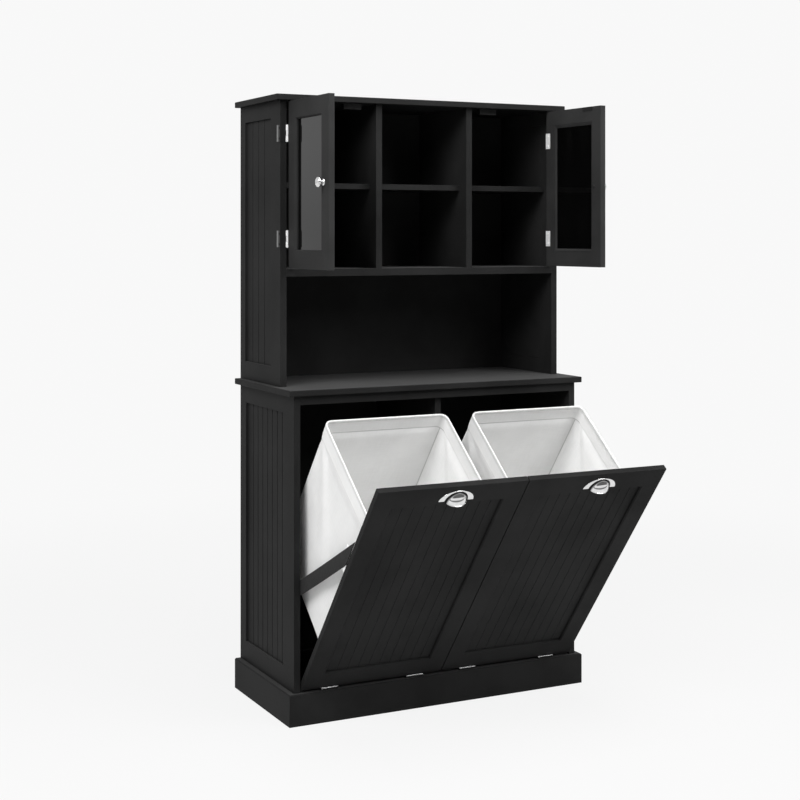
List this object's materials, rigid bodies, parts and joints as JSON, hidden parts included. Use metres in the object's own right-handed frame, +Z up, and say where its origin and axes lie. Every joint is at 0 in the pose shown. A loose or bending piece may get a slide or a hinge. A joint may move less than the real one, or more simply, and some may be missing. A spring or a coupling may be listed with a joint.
{
  "type": "linen cabinet",
  "caption": "Tall black hutch cabinet with framed glass doors over cubbies, an open niche, a counter, and tilt-out fronts that carry white laundry bags.",
  "frame": {"origin": "on the floor, at the middle of the plinth's footprint", "axes": "+X to the right seen from the front, +Y to the back, +Z up"},
  "size_m": [0.9, 0.8497, 1.65],
  "materials": {
    "black_paint": "satin black paint",
    "smoked_glass": "clear, dark",
    "polished_chrome": "polished",
    "hinge_steel": "bright nickel",
    "white_cloth": "plain woven",
    "white_wire": "gloss white",
    "black_webbing": "woven tape",
    "black_plastic": "matte"
  },
  "bodies": {
    "carcass": {"bottom_panel": "black_paint", "centre_divider": "black_paint", "centre_foot": "black_paint", "counter": "black_paint", "counter_rail": "black_paint", "cubby_floor": "black_paint", "glass_hinge_pins": "hinge_steel", "glass_hinge_side_leaves": "hinge_steel", "hutch_back_panel": "black_paint", "hutch_divider_left": "black_paint", "hutch_divider_right": "black_paint", "lower_back_panel": "black_paint", "lower_side_left_frame": "black_paint", "lower_side_left_panel": "black_paint", "lower_side_right_frame": "black_paint", "lower_side_right_panel": "black_paint", "magnetic_catches": "black_plastic", "shelf_centre": "black_paint", "shelf_left": "black_paint", "shelf_right": "black_paint", "skirting_front": "black_paint", "skirting_left": "black_paint", "skirting_right": "black_paint", "stay_strap_left": "black_webbing", "stay_strap_right": "black_webbing", "strap_anchors": "black_plastic", "tilt_hinge_base_leaves": "hinge_steel", "tilt_hinge_pins": "hinge_steel", "top_board": "black_paint", "upper_side_left_frame": "black_paint", "upper_side_left_panel": "black_paint", "upper_side_right_frame": "black_paint", "upper_side_right_panel": "black_paint"},
    "glass_door_left": {"glass_door_frame_left": "black_paint", "glass_pane_left": "smoked_glass", "glazing_beads_left": "black_paint", "door_knob_left": "polished_chrome", "glass_hinge_door_leaves_left": "hinge_steel", "strike_plate_left": "black_paint"},
    "glass_door_right": {"glass_door_frame_right": "black_paint", "glass_pane_right": "smoked_glass", "glazing_beads_right": "black_paint", "door_knob_right": "polished_chrome", "glass_hinge_door_leaves_right": "hinge_steel", "strike_plate_right": "black_paint"},
    "tilt_front_left": {"tilt_door_frame_left": "black_paint", "tilt_door_panel_left": "black_paint", "cup_pull_left": "polished_chrome", "tilt_hinge_door_leaves_left": "hinge_steel", "strap_bracket_left": "hinge_steel", "laundry_bag_left": "white_cloth", "bag_frame_left": "white_wire"},
    "tilt_front_right": {"tilt_door_frame_right": "black_paint", "tilt_door_panel_right": "black_paint", "cup_pull_right": "polished_chrome", "tilt_hinge_door_leaves_right": "hinge_steel", "strap_bracket_right": "hinge_steel", "laundry_bag_right": "white_cloth", "bag_frame_right": "white_wire"}
  },
  "joints": [
    {"name": "glass_door_left_swing", "type": "hinge", "parent": "carcass", "child": "glass_door_left", "pos_m": [-0.414, -0.0982, 1.4095], "axis": [0, 0, -1], "range_deg": [-90, 15]},
    {"name": "glass_door_right_swing", "type": "hinge", "parent": "carcass", "child": "glass_door_right", "pos_m": [0.414, -0.0982, 1.4095], "axis": [0, 0, 1], "range_deg": [-92.4, 12.6]},
    {"name": "tilt_front_left_tilt", "type": "hinge", "parent": "carcass", "child": "tilt_front_left", "pos_m": [0, -0.1912, 0.0866], "axis": [1, 0, 0], "range_deg": [-38.3, 0], "deforming": ["stay_strap_left"]},
    {"name": "tilt_front_right_tilt", "type": "hinge", "parent": "carcass", "child": "tilt_front_right", "pos_m": [0, -0.1912, 0.0866], "axis": [1, 0, 0], "range_deg": [-38.3, 0], "deforming": ["stay_strap_right"]}
  ]
}
